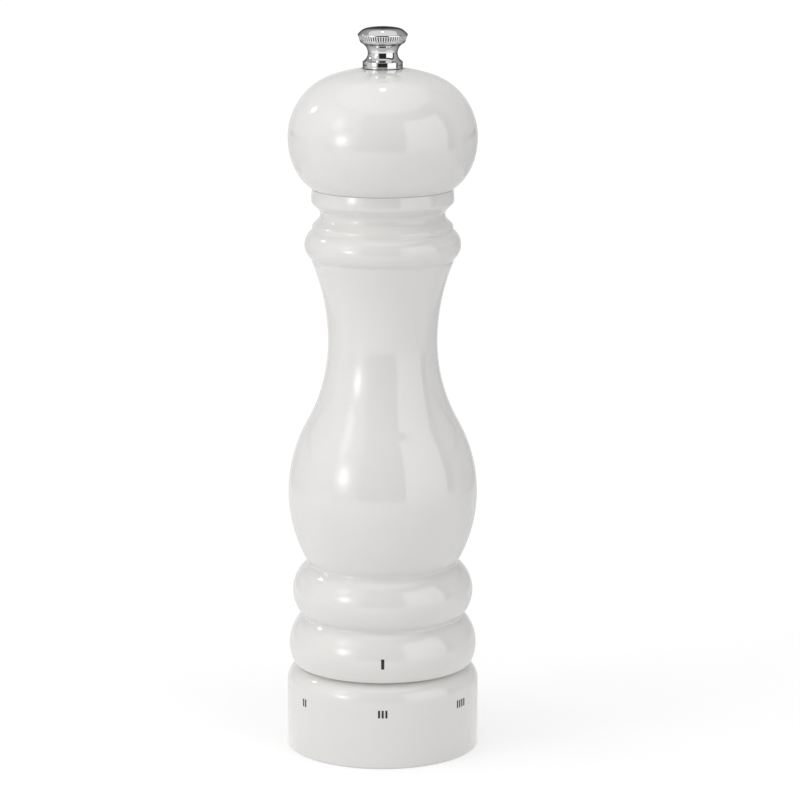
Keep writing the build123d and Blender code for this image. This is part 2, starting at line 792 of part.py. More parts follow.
def knob():
    waist = knob_foot + knob_waist_rise
    low_hollow = (knob_waist_radius + knob_low_curve, waist)
    high_hollow = (knob_waist_radius + knob_high_curve, waist)
    flange_edge = knob_flange_radius - knob_edge
    flange_top = waist - sqrt(knob_low_curve ** 2 - (low_hollow[0] - flange_edge) ** 2)
    chin = waist + sqrt(knob_high_curve ** 2 - (high_hollow[0] - knob_chin_radius) ** 2)
    rim_foot = knob_foot + knob_rim_rise
    step = (knob_step_radius, knob_foot + knob_step_rise)
    shoulder = (knob_shoulder_radius, knob_foot + knob_shoulder_rise)
    top = knob_foot + knob_height
    dome = (0, top - chord_radius(knob_shoulder_radius, top - shoulder[1]))
    roof = top - insert_roof
    recess = washer_radius + free_clearance
    recess_top = knob_seat + washer_thickness

    outline = Outline(recess, knob_foot).line(flange_edge, knob_foot)
    outline.lines((knob_flange_radius, knob_foot + knob_edge), (knob_flange_radius, flange_top - knob_edge))
    outline.line(flange_edge, flange_top)
    outline.arc(low_hollow, (knob_waist_radius, waist))
    outline.arc(high_hollow, (knob_chin_radius, chin))
    outline.lines((knob_cheek_radius, knob_foot + knob_cheek_rise), (knob_rim_radius, rim_foot))
    outline.lines((knob_rim_radius, rim_foot + knob_rim_height), step)
    outline.arc(tangent_centre(dome, shoulder, step), shoulder)
    outline.arc(dome, (0, top)).line(0, roof)
    outline.lines((insert_radius + glue_clearance, roof), (insert_radius + glue_clearance, recess_top))
    return outline.line(recess, recess_top).turn()


def group(pieces):
    return Compound(children=[solid for piece in pieces for solid in piece.solids()])


nodes = {
    "adjust_ring": adjust_ring(),
    "ring_liner": ring_liner(),
    "body_shell": body_shell(),
    "mechanism_housing": mechanism_housing(),
    "housing_screws": group(housing_screw_places(flat_screw(housing_screw))),
    "bridge": bridge(),
    "bridge_screws": group(bridge_screw_places(pan_screw(bridge_screw))),
    "shaft_bush": shaft_bush(),
    "key_plate": key_plate(),
    "key_plate_screws": group(key_plate_screw_places(flat_screw(key_plate_screw))),
    "click_spring": click_spring(),
    "click_screw": click_screw_place(pan_screw(click_screw)),
    "stator_carrier": stator_carrier(),
    "stator": stator(),
    "stator_screws": group(stator_screw_places(flat_screw(stator_screw))),
    "drive_shaft": drive_shaft(),
    "rotor": rotor(),
    "rotor_washer": rotor_washer(),
    "rotor_screw": rotor_fixing(),
    "spring_seat": spring_seat(),
    "thrust_spring": thrust_spring(),
    "head_shell": head_shell(),
    "drive_plate": drive_plate(),
    "drive_plate_screws": group(drive_plate_screw_places(flat_screw(drive_plate_screw))),
    "knob_washer": knob_washer(),
    "knob": knob(),
    "knob_insert": knob_insert(),
}

os.makedirs("parts", exist_ok=True)
for name, shape in nodes.items():
    export_step(shape, f"parts/{name}.step")
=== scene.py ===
"""Looks of a white lacquered pepper mill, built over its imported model.

Sizes of the mill are millimetres, as on a drawing. Places and sizes in the studio are metres.
"""

from __future__ import annotations

import json
import logging
from dataclasses import dataclass
from enum import Enum
from math import atan2, ceil, cos, hypot, pi, radians, remainder, sin, sqrt
from typing import Any, Union

import bpy
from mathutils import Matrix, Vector

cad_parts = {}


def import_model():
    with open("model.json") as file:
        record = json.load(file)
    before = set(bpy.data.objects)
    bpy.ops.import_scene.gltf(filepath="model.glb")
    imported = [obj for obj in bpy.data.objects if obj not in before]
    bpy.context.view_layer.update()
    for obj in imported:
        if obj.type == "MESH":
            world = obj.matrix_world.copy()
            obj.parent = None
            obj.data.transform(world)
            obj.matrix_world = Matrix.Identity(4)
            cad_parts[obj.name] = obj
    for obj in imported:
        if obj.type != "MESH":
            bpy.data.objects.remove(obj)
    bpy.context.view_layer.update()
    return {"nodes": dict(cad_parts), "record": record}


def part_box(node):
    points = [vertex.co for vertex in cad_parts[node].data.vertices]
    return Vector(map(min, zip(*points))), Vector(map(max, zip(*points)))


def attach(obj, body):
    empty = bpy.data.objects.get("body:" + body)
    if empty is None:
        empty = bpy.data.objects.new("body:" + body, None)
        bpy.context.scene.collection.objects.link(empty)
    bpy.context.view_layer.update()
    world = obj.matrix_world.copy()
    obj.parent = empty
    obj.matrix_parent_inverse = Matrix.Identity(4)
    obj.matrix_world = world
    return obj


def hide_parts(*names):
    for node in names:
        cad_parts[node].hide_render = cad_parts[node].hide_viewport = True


LOG = logging.getLogger("pepper_mill")
MM = 0.001
HEAD_SEAM = 0.04

Spot = tuple[float, float]
Triple = tuple[float, float, float]
Colour = tuple[float, float, float]
Value = Union["Signal", float, tuple]

PURE_WHITE: Colour = (1.0, 1.0, 1.0)


class Body(str, Enum):
    """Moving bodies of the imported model."""

    MILL = "mill"
    RING = "setting_ring"
    HEAD = "head"
    KNOB = "knob_cap"


class Signal:
    """A shader socket that takes part in Python arithmetic."""

    def __init__(self, graph: Graph, socket: bpy.types.NodeSocket) -> None:
        """Keep the socket and the graph that it belongs to."""
        self.graph = graph
        self.socket = socket

    def _math(self, operation: str, first: Value, second: Value) -> Signal:
        """Add one Math node."""
        return self.graph.node("ShaderNodeMath", {"operation": operation}, {0: first, 1: second})

    def __add__(self, other: Value) -> Signal:
        """Sum."""
        return self._math("ADD", self, other)

    def __radd__(self, other: Value) -> Signal:
        """Sum, reflected."""
        return self._math("ADD", other, self)

    def __sub__(self, other: Value) -> Signal:
        """Difference."""
        return self._math("SUBTRACT", self, other)

    def __rsub__(self, other: Value) -> Signal:
        """Difference, reflected."""
        return self._math("SUBTRACT", other, self)

    def __mul__(self, other: Value) -> Signal:
        """Product."""
        return self._math("MULTIPLY", self, other)

    def __rmul__(self, other: Value) -> Signal:
        """Product, reflected."""
        return self._math("MULTIPLY", other, self)

    def __pow__(self, other: Value) -> Signal:
        """Power."""
        return self._math("POWER", self, other)

    def __or__(self, other: Value) -> Signal:
        """Larger of two masks."""
        return self._math("MAXIMUM", self, other)

    def below(self, limit: float, soft: float) -> Signal:
        """Mask that is 1 below a limit and fades to 0 above it.

        Args:
            limit: value at the middle of the fade.
            soft: half the width of the fade.

        Returns:
            The mask, from 0 to 1.
        """
        ends = {"Value": self, "From Min": limit + soft, "From Max": limit - soft}
        return self.graph.node("ShaderNodeMapRange", {"clamp": True}, ends)


class Graph:
    """Node tree of one material or world, with one way to add any node."""

    MIX_FACTOR = 0
    MIX_LOW = 6
    MIX_HIGH = 7
    MIX_COLOUR = 2

    def __init__(self, tree: bpy.types.NodeTree) -> None:
        """Start from an empty tree."""
        self.tree = tree
        tree.nodes.clear()

    def node(
        self,
        kind: str,
        settings: dict[str, Any],
        inputs: dict[int | str, Value],
        output: int | str = 0,
    ) -> Signal | None:
        """Add a node, set it up and feed its sockets.

        Args:
            kind: Blender's name of the node type.
            settings: properties that are set first.
            inputs: socket name or number to a value or signal.
            output: name or number of the socket to return.

        Returns:
            The chosen output as a signal, or nothing from a node without outputs.
        """
        node = self.tree.nodes.new(kind)
        for key, value in settings.items():
            setattr(node, key, value)
        for key, value in inputs.items():
            self.feed(node.inputs[key], value)
        return Signal(self, node.outputs[output]) if len(node.outputs) else None

    def feed(self, socket: bpy.types.NodeSocket, value: Value) -> None:
        """Link a signal to a socket, or set the socket's own value.

        Args:
            socket: an input socket of this tree.
            value: a signal, a number, a vector or a colour.
        """
        if isinstance(value, Signal):
            self.tree.links.new(value.socket, socket)
        elif isinstance(value, tuple) and len(socket.default_value) == 4:
            socket.default_value = (*value[:3], 1.0)
        else:
            socket.default_value = value

    def mix(self, mask: Value, low: Value, high: Value) -> Signal:
        """Mix two colours by a mask."""
        inputs = {self.MIX_FACTOR: mask, self.MIX_LOW: low, self.MIX_HIGH: high}
        return self.node("ShaderNodeMix", {"data_type": "RGBA"}, inputs, self.MIX_COLOUR)

    def place(self) -> Signal:
        """Object coordinates, in metres."""
        return self.node("ShaderNodeTexCoord", {}, {}, "Object")

    def stretched(self, scale: Triple) -> Signal:
        """Object coordinates scaled along each axis."""
        return self.node("ShaderNodeMapping", {}, {"Vector": self.place(), "Scale": scale})

    def axis(self, name: str) -> Signal:
        """One object coordinate."""
        return self.node("ShaderNodeSeparateXYZ", {}, {"Vector": self.place()}, name)

    def radius(self) -> Signal:
        """Distance from the axis of the mill."""
        return (self.axis("X") ** 2.0 + self.axis("Y") ** 2.0) ** 0.5

    def noise(self, vector: Signal, scale: float, detail: float = 3.0) -> Signal:
        """Noise with a given number of cells to the metre."""
        return self.node("ShaderNodeTexNoise", {}, {"Vector": vector, "Scale": scale, "Detail": detail})

    def bump(self, height: Signal, depth: float, strength: float) -> Signal:
        """Bump from a height signal, its depth in millimetres."""
        inputs = {"Height": height, "Distance": depth * MM, "Strength": strength}
        return self.node("ShaderNodeBump", {}, inputs)

    def glow(self, strength: Value) -> Signal:
        """White light of a given strength."""
        return self.node("ShaderNodeEmission", {}, {"Color": PURE_WHITE, "Strength": strength})

    def show(self, shader: Signal) -> None:
        """Finish the material with a shader."""
        self.node("ShaderNodeOutputMaterial", {}, {"Surface": shader})

    def surface(self, inputs: dict[str, Value]) -> None:
        """Finish the material with one Principled shader."""
        self.show(self.node("ShaderNodeBsdfPrincipled", {}, inputs))


@dataclass(frozen=True)
class Finish:
    """A surface finish that is made into one material."""

    name: str
    colour: Colour
    roughness: float

    def material(self) -> bpy.types.Material:
        """Find the material, or make it the first time.

        Returns:
            The material of this finish.
        """
        made = bpy.data.materials.get(self.name)
        if made is None:
            made = bpy.data.materials.new(self.name)
            made.use_nodes = True
            self.paint(Graph(made.node_tree))
        return made

    def paint(self, graph: Graph) -> None:
        """Build the nodes of the finish."""
        raise NotImplementedError

    def toned(self, share: float) -> Colour:
        """The finish's own colour, made darker or lighter by a share."""
        return tuple(part * share for part in self.colour)

    def dress(self, piece: bpy.types.Object) -> None:
        """Give a piece this finish alone.

        Args:
            piece: the piece to dress.
        """
        if not piece.material_slots:
            piece.data.materials.append(None)
        for slot in piece.material_slots:
            slot.material = self.material()


@dataclass(frozen=True)
class Lacquer(Finish):
    """White gloss lacquer outside, bare beech inside the given bounds.

    Bare wood lies inside bare_radius everywhere, and inside low_radius below low_height, in millimetres.
    """

    bare_radius: float = 0.0
    low_radius: float = 0.0
    low_height: float = 0.0
    fade: float = 0.05
    base_gloss: float = 0.2
    coat_roughness: float = 0.012
    tone_cells: float = 40.0
    tone_share: float = 0.975
    tone_wear: float = 0.04
    peel_cells: float = 420.0
    pale_wood: Colour = (0.58, 0.40, 0.24)
    dark_wood: Colour = (0.40, 0.25, 0.14)
    grain_lines: Triple = (1.0, 1.0, 0.08)
    grain_cells: float = 900.0
    grain_share: float = 0.6
    grain_height: float = 4.0
    year_lines: Triple = (1.0, 1.0, 0.03)
    year_cells: float = 160.0
    wood_roughness: float = 0.35
    depth: float = 0.012
    bump: float = 0.2

    def paint(self, graph: Graph) -> None:
        """Lacquer with a faint peel and tone, over fine-grained wood.

        Args:
            graph: the empty node tree of the material.
        """
        radius = graph.radius()
        fade = self.fade * MM
        low = radius.below(self.low_radius * MM, fade) * graph.axis("Z").below(self.low_height * MM, fade)
        bare = radius.below(self.bare_radius * MM, fade) | low

        tone = graph.noise(graph.place(), self.tone_cells, 2.0)
        white = graph.mix(tone, self.toned(self.tone_share), self.colour)
        grain = graph.noise(graph.stretched(self.grain_lines), self.grain_cells, 4.0)
        years = graph.noise(graph.stretched(self.year_lines), self.year_cells, 2.0)
        figure = grain * self.grain_share + years * (1.0 - self.grain_share)
        wood = graph.mix(figure, self.dark_wood, self.pale_wood)

        peel = graph.noise(graph.place(), self.peel_cells, 1.0)
        height = peel * (1.0 - bare) + grain * bare * self.grain_height
        graph.surface({
            "Base Color": graph.mix(bare, white, wood),
            "Roughness": bare * self.wood_roughness + (self.roughness + self.tone_wear * tone),
            "Specular IOR Level": self.base_gloss,
            "Coat Weight": 1.0 - bare,
            "Coat Roughness": self.coat_roughness,
            "Normal": graph.bump(height, self.depth, self.bump),
        })


@dataclass(frozen=True)
class Metal(Finish):
    """Metal with fine lines along one axis and a little unevenness."""

    lines: Triple = (1.0, 1.0, 1.0)
    cells: float = 600.0
    line_share: float = 0.6
    cloud_cells: float = 90.0
    dull_share: float = 0.82
    wear: float = 0.12
    depth: float = 0.01
    bump: float = 0.35

    def paint(self, graph: Graph) -> None:
        """Drawn or ground metal.

        Args:
            graph: the empty node tree of the material.
        """
        lines = graph.noise(graph.stretched(self.lines), self.cells, 4.0)
        cloud = graph.noise(graph.place(), self.cloud_cells)
        shine = lines * self.line_share + cloud * (1.0 - self.line_share)
        graph.surface({
            "Base Color": graph.mix(shine, self.toned(self.dull_share), self.colour),
            "Metallic": 1.0,
            "Roughness": self.roughness + self.wear * (lines * cloud),
            "Normal": graph.bump(lines, self.depth, self.bump),
        })


@dataclass(frozen=True)
class TurnedMetal(Finish):
    """Metal that was turned on the axis of the mill, with faint tool rings on flat ends."""

    ring_pitch: float = 0.3
    cloud_cells: float = 260.0
    deep_share: float = 0.96
    wear: float = 0.03
    depth: float = 0.004
    bump: float = 0.3

    def paint(self, graph: Graph) -> None:
        """Even metal with tool rings that only a close look shows.

        Args:
            graph: the empty node tree of the material.
        """
        turns = graph.radius() * (2 * pi / (self.ring_pitch * MM))
        rings = graph.node("ShaderNodeMath", {"operation": "SINE"}, {0: turns})
        cloud = graph.noise(graph.place(), self.cloud_cells)
        graph.surface({
            "Base Color": graph.mix(cloud, self.toned(self.deep_share), self.colour),
            "Metallic": 1.0,
            "Roughness": self.roughness + self.wear * cloud,
            "Normal": graph.bump(rings, self.depth, self.bump),
        })


@dataclass(frozen=True)
class Chrome(Finish):
    """Mirror chrome, a little darker where it turns away, with a faint cloud of finger wear."""

    edge: Colour = (0.08, 0.08, 0.09)
    cloud_cells: float = 260.0
    deep_share: float = 0.96
    wear: float = 0.02

    def paint(self, graph: Graph) -> None:
        """Polish the plating all over.

        Args:
            graph: the empty node tree of the material.
        """
        cloud = graph.noise(graph.place(), self.cloud_cells)
        graph.surface({
            "Base Color": graph.mix(cloud, self.toned(self.deep_share), self.colour),
            "Metallic": 1.0,
            "Specular Tint": self.edge,
            "Roughness": self.roughness + self.wear * cloud,
        })


@dataclass(frozen=True)
class Moulding(Finish):
    """Moulded plastic with a fine spark-eroded grain."""

    cells: float = 2600.0
    cloud_cells: float = 120.0
    worn_share: float = 1.25
    worn_haze: float = 0.004
    wear: float = 0.15
    depth: float = 0.02
    bump: float = 0.4

    def paint(self, graph: Graph) -> None:
        """Even colour with fine grain and a soft cloud in its gloss.

        Args:
            graph: the empty node tree of the material.
        """
        grain = graph.noise(graph.place(), self.cells, 2.0)
        cloud = graph.noise(graph.place(), self.cloud_cells)
        worn = tuple(part + self.worn_haze for part in self.toned(self.worn_share))
        graph.surface({
            "Base Color": graph.mix(cloud * grain, self.colour, worn),
            "Roughness": self.roughness + self.wear * cloud,
            "Normal": graph.bump(grain, self.depth, self.bump),
        })


class Finishes:
    """Every finish of the mill."""

    WHITE: Colour = (0.785, 0.775, 0.758)
    BODY = Lacquer("lacquer_body", WHITE, 0.22, bare_radius=15.0, low_radius=24.6, low_height=39.6)
    RING = Lacquer("lacquer_ring", WHITE, 0.22, bare_radius=23.0)
    HEAD = Lacquer("lacquer_head", WHITE, 0.22, bare_radius=5.2, low_radius=19.5, low_height=173.6)
    CHROME = Chrome("polished_chrome", (0.69, 0.69, 0.7), 0.02)
    BRASS = TurnedMetal("turned_brass", (0.78, 0.57, 0.25), 0.16)
    ZINC = Metal("zinc_plated_steel", (0.60, 0.60, 0.58), 0.24, cells=800.0)
    SPRING = Metal("drawn_spring_steel", (0.42, 0.42, 0.43), 0.26, cells=1500.0)
    BURR = Metal("hardened_burr_steel", (0.27, 0.27, 0.28), 0.34, wear=0.25, depth=0.02)
    SHAFT = Metal("drawn_square_bar", (0.70, 0.70, 0.71), 0.22, lines=(1.0, 1.0, 0.02), cells=2500.0)
    BLACK = Moulding("black_moulding", (0.018, 0.018, 0.019), 0.42)
    NYLON = Moulding("natural_nylon", (0.74, 0.73, 0.67), 0.38, cells=1200.0, depth=0.01)
    # Near-black metal for the sunken reed faces of the knob: painted shade in the grooves, darker than
    # the chrome itself.
    GROOVE_PAINTED_SHADE = Metal("groove_painted_shade", (0.05, 0.05, 0.055), 0.35, cells=1500.0)
    INK = Moulding("black_print", (0.010, 0.010, 0.011), 0.30, cells=900.0, depth=0.004)

    SLOTS: dict[str, Finish] = {
        "black_plastic": BLACK,
        "white_nylon": NYLON,
        "zinc_steel": ZINC,
        "spring_steel": SPRING,
        "grinder_steel": BURR,
        "shaft_alloy": SHAFT,
        "chrome": CHROME,
        "brass": BRASS,
        "lacquered_wood": BODY,
    }


def chord_radius(half_width: float, rise: float) -> float:
    """Radius of an arc from half its width and its rise."""
    return (half_width ** 2 + rise ** 2) / (2 * rise)


class Profile:
    """An outline in radius and height, in millimetres, drawn from spot to spot."""

    LONGEST_CHORD = 1.2
    WIDEST_TURN = radians(7.0)
    CORNER_PARTS = 8

    def __init__(self, radius: float, height: float) -> None:
        """Start the outline at one spot."""
        self.spots: list[Spot] = [(radius, height)]
        self.corners: dict[int, float] = {}

    def lines(self, *spots: Spot) -> Profile:
        """Draw straight lines through the spots."""
        self.spots.extend(spots)
        return self

    def arc(self, centre: Spot, end: Spot) -> Profile:
        """Draw an arc about a centre, the short way round, to an end spot.

        Args:
            centre: radius and height of the arc's centre.
            end: radius and height where the arc ends.

        Returns:
            The profile itself.
        """
        begin = self.spots[-1]
        size = hypot(end[0] - centre[0], end[1] - centre[1])
        first = atan2(begin[1] - centre[1], begin[0] - centre[0])
        turn = remainder(atan2(end[1] - centre[1], end[0] - centre[0]) - first, 2 * pi)
        parts = max(ceil(abs(turn) / self.WIDEST_TURN), ceil(abs(turn) * size / self.LONGEST_CHORD))
        for part in range(1, parts):
            angle = first + turn * part / parts
            self.spots.append((centre[0] + size * cos(angle), centre[1] + size * sin(angle)))
        self.spots.append(end)
        return self

    def bulge(self, end: Spot, rise: float) -> Profile:
        """Draw a slightly swollen line, as sanding leaves it, to an end spot.

        Args:
            end: radius and height where the line ends.
            rise: how far its middle swells outwards.

        Returns:
            The profile itself.
        """
        begin = self.spots[-1]
        half = hypot(end[0] - begin[0], end[1] - begin[1]) / 2
        depth = (chord_radius(half, rise) - rise) / (2 * half)
        middle = ((begin[0] + end[0]) / 2, (begin[1] + end[1]) / 2)
        centre = (middle[0] - (end[1] - begin[1]) * depth, middle[1] + (end[0] - begin[0]) * depth)
        return self.arc(centre, end)

    def corner(self, reach: float) -> Profile:
        """Have lacquer fill or round the corner at the last spot, over a reach to each side."""
        self.corners[len(self.spots) - 1] = reach
        return self

    def _along(self, index: int, step: int, reach: float) -> tuple[Vector, int]:
        """Walk along the outline from a spot.

        Args:
            index: number of the spot to start from.
            step: 1 to walk onwards, -1 to walk back.
            reach: length of the walk.

        Returns:
            The place reached, and the number of the spot that follows it.
        """
        here = Vector(self.spots[index])
        there = Vector(self.spots[index + step])
        while (there - here).length < reach:
            reach -= (there - here).length
            index += step
            here, there = there, Vector(self.spots[index + step])
        return here + (there - here).normalized() * reach, index + step

    def closed(self) -> list[Spot]:
        """Round the marked corners and close the outline.

        Returns:
            The spots of the outline, with the first one repeated at the end.
        """
        spots: list[Spot] = []
        kept = 0
        for index, reach in self.corners.items():
            before, last = self._along(index, -1, reach)
            after, following = self._along(index, 1, reach)
            tip = Vector(self.spots[index])
            spots.extend(self.spots[kept:last + 1])
            for part in range(self.CORNER_PARTS + 1):
                share = part / self.CORNER_PARTS
                low = before.lerp(tip, share)
                spots.append(tuple(low.lerp(tip.lerp(after, share), share)))
            kept = following
        spots.extend(self.spots[kept:])
        return [*spots, spots[0]]


def tangent_centre(centre: Spot, joint: Spot, end: Spot) -> Spot:
    """Centre of the arc that runs on smoothly from another one.

    Args:
        centre: centre of the other arc.
        joint: spot where the arcs meet.
        end: spot where the sought arc ends.

    Returns:
        The centre sought.
    """
    inward = (Vector(centre) - Vector(joint)).normalized()
    across = Vector(end) - Vector(joint)
    return tuple(Vector(joint) + inward * (across.length_squared / (2 * across.dot(inward))))


@dataclass(frozen=True)
class Swell:
    """A round swelling of an outline: its widest radius, the height of that, and its curve."""

    radius: float
    height: float
    curve: float

    @property
    def centre(self) -> Spot:
        """Centre of the curve."""
        return (self.radius - self.curve, self.height)

    def radius_at(self, height: float) -> float:
        """Radius of the swelling at a height."""
        return self.centre[0] + sqrt(self.curve ** 2 - (height - self.height) ** 2)

    def reach(self, radius: float) -> float:
        """Half the height of the swelling where it has a radius."""
        return sqrt(self.curve ** 2 - (radius - self.centre[0]) ** 2)

    def crease(self, upper: Swell) -> Spot:
        """Find where this swelling meets the one above it.

        Args:
            upper: the swelling above.

        Returns:
            The outer one of the two meeting spots.
        """
        across = upper.centre[0] - self.centre[0]
        rise = upper.height - self.height
        span = hypot(across, rise)
        along = (self.curve ** 2 - upper.curve ** 2 + span ** 2) / (2 * span)
        aside = sqrt(self.curve ** 2 - along ** 2)
        radius = self.centre[0] + (along * across + aside * rise) / span
        return (radius, self.height + (along * rise - aside * across) / span)


class Lathe:
    """Hand tools that turn a profile into a piece."""

    STEPS = 192
    MERGE = 1e-7
    EDGE_ANGLE = radians(22.0)
    SMOOTH_ANGLE = radians(35.0)

    @staticmethod
    def clear() -> None:
        """Leave nothing selected."""
        bpy.ops.object.select_all(action="DESELECT")

    @classmethod
    def turn(cls, name: str, spots: list[Spot], steps: int = STEPS) -> bpy.types.Object:
        """Draw a profile by extruding one vertex, and spin it about the axis.

        Args:
            name: name of the new piece.
            spots: the closed profile, in millimetres.
            steps: number of steps in the spin.

        Returns:
            The turned piece.
        """
        cls.clear()
        bpy.ops.mesh.primitive_circle_add(vertices=3, radius=MM)
        piece = bpy.context.active_object
        piece.name = name
        piece.data.name = name
        bpy.ops.object.mode_set(mode="EDIT")
        bpy.ops.mesh.select_mode(type="VERT")
        bpy.ops.mesh.select_all(action="SELECT")
        bpy.ops.mesh.merge(type="CENTER")
        bpy.ops.transform.translate(value=(spots[0][0] * MM, 0, spots[0][1] * MM))
        for here, there in zip(spots, spots[1:]):
            move = ((there[0] - here[0]) * MM, 0, (there[1] - here[1]) * MM)
            bpy.ops.mesh.extrude_region_move(TRANSFORM_OT_translate={"value": move})
        bpy.ops.mesh.select_all(action="SELECT")
        bpy.ops.mesh.remove_doubles(threshold=cls.MERGE)
        bpy.ops.mesh.spin(steps=steps, angle=2 * pi, center=(0, 0, 0), axis=(0, 0, 1))
        bpy.ops.mesh.select_all(action="SELECT")
        bpy.ops.mesh.remove_doubles(threshold=cls.MERGE)
        bpy.ops.mesh.normals_make_consistent(inside=False)
        bpy.ops.object.mode_set(mode="OBJECT")
        return piece

    @classmethod
    def soften(cls, piece: bpy.types.Object, width: float, segments: int = 3) -> None:
        """Round the creases and edges of a piece, and shade it smooth.

        Args:
            piece: the piece to finish.
            width: width of the rounding, in millimetres.
            segments: number of facets across the rounding.
        """
        cls.clear()
        piece.select_set(True)
        bpy.context.view_layer.objects.active = piece
        bevel = piece.modifiers.new("round", "BEVEL")
        bevel.width = width * MM
        bevel.segments = segments
        bevel.limit_method = "ANGLE"
        bevel.angle_limit = cls.EDGE_ANGLE
        bevel.use_clamp_overlap = True
        bpy.ops.object.modifier_apply(modifier=bevel.name)
        bpy.ops.object.shade_smooth_by_angle(angle=cls.SMOOTH_ANGLE)


def settle(piece: bpy.types.Object, body: Body, slot: str, finish: Finish | None, *nodes: str) -> None:
    """Dress a finished piece and tie it to the model.

    Args:
        piece: the new piece.
        body: the body that carries it.
        slot: the record's material slot; not used.
        finish: the finish that it is given all over, or none if it is dressed already.
        nodes: model nodes that the piece stands for.
    """
    if finish is not None:
        finish.dress(piece)
    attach(piece, body.value)
    if nodes:
        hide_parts(*nodes)
    LOG.info("%s: %d faces on %s", piece.name, len(piece.data.polygons), body.value)


def levels(node: str) -> Spot:
    """Return the lowest and highest height of a model node, in millimetres."""
    low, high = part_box(node)
    return (low[2] / MM, high[2] / MM)


@dataclass(frozen=True)
class BodyShell:
    """The turned body: two beads, a belly, a slim neck, a neck ring, a cove and a collar.

    A spot holds a radius and a height above the foot. Those of the neck ring, the cove and the
    socket hold a radius and a depth below the top.
    """

    foot: float
    top: float
    foot_bead: Spot = (28.8, 5.7)
    foot_bead_curve: float = 12.55
    upper_bead: Spot = (27.7, 22.5)
    upper_bead_curve: float = 10.6
    belly: Spot = (28.9, 53.5)
    belly_curve: float = 43.7
    neck_radius: float = 16.64
    neck_drop: float = 46.55
    neck_top_radius: float = 21.5
    neck_lip: float = 0.7
    neck_ring: Spot = (23.7, 16.9)
    neck_ring_curve: float = 5.4
    band_radius: float = 21.25
    cove: Spot = (18.9, 7.58)
    cove_curve: float = 2.3
    collar_radius: float = 21.55
    collar_top_radius: float = 21.35
    collar_round: float = 0.15
    collar_swell: float = 0.12
    band_swell: float = 0.08
    crease_fill: float = 0.9
    band_fill: float = 0.4
    collar_fill: float = 0.5
    edge: float = 0.2
    socket: Spot = (14.0, 10.0)
    reservoir_radius: float = 12.5
    pocket: Spot = (19.85, 12.65)
    recess: Spot = (24.05, 2.5)

    def foot_swell(self) -> Swell:
        """The lower bead, which carries the pointer mark."""
        return Swell(self.foot_bead[0], self.foot + self.foot_bead[1], self.foot_bead_curve)

    def profile(self) -> list[Spot]:
        """Draw the outside from foot to top, and the hollow back down.

        Returns:
            The closed outline.
        """
        foot = self.foot_swell()
        upper = Swell(self.upper_bead[0], self.foot + self.upper_bead[1], self.upper_bead_curve)
        belly = Swell(self.belly[0], self.foot + self.belly[1], self.belly_curve)
        ring = Swell(self.neck_ring[0], self.top - self.neck_ring[1], self.neck_ring_curve)
        neck = (self.neck_radius, self.top - self.neck_drop)

        inset = neck[0] - belly.centre[0]
        rise = neck[1] - belly.height
        low_curve = (inset ** 2 + rise ** 2 - belly.curve ** 2) / (2 * (belly.curve - inset))
        low_centre = (neck[0] + low_curve, neck[1])
        share = belly.curve / (belly.curve + low_curve)
        smooth = tuple(a + share * (b - a) for a, b in zip(belly.centre, low_centre))

        ring_foot = ring.height - ring.reach(self.neck_top_radius)
        neck_top = ring_foot - self.neck_lip
        flare = self.neck_top_radius - neck[0]
        high_curve = (flare ** 2 + (neck_top - neck[1]) ** 2) / (2 * flare)

        cove = (self.cove[0] + self.cove_curve, self.top - self.cove[1])
        slant = self.cove_curve / sqrt(2)
        cove_foot = (cove[0] - slant, cove[1] - slant)
        cove_top = (cove[0] - slant, cove[1] + slant)
        band_top = (self.band_radius, cove_foot[1] - (self.band_radius - cove_foot[0]))
        collar_foot = (self.collar_radius, cove_top[1] + self.collar_radius - cove_top[0])

        line = Profile(foot.radius_at(self.foot), self.foot)
        line.arc(foot.centre, foot.crease(upper)).corner(self.crease_fill)
        line.arc(upper.centre, upper.crease(belly)).corner(self.crease_fill)
        line.arc(belly.centre, smooth)
        line.arc(low_centre, neck)
        line.arc((neck[0] + high_curve, neck[1]), (self.neck_top_radius, neck_top))
        line.lines((self.neck_top_radius, ring_foot))
        band_foot = (self.band_radius, ring.height + ring.reach(self.band_radius))
        line.arc(ring.centre, band_foot).corner(self.band_fill)
        line.bulge(band_top, self.band_swell).corner(self.band_fill).lines(cove_foot)
        line.arc(cove, cove_top)
        round_centre = (self.collar_top_radius - self.collar_round, self.top - self.collar_round)
        line.lines(collar_foot).corner(self.collar_fill)
        line.bulge((self.collar_top_radius, round_centre[1]), self.collar_swell)
        line.arc(round_centre, (round_centre[0], self.top))
        line.lines((self.socket[0], self.top), (self.socket[0], self.top - self.socket[1]))
        line.lines((self.reservoir_radius, self.top - self.socket[1]))
        pocket_top = self.foot + self.pocket[1]
        line.lines((self.reservoir_radius, pocket_top), (self.pocket[0], pocket_top))
        recess_top = self.foot + self.recess[1]
        line.lines((self.pocket[0], recess_top), (self.recess[0], recess_top))
        line.lines((self.recess[0], self.foot))
        return line.closed()

    def build(self) -> bpy.types.Object:
        """Turn the body and lacquer it.

        Returns:
            The finished piece.
        """
        piece = Lathe.turn("turned_body", self.profile())
        Lathe.soften(piece, self.edge)
        settle(piece, Body.MILL, "lacquered_wood", Finishes.BODY, "body_shell")
        return piece


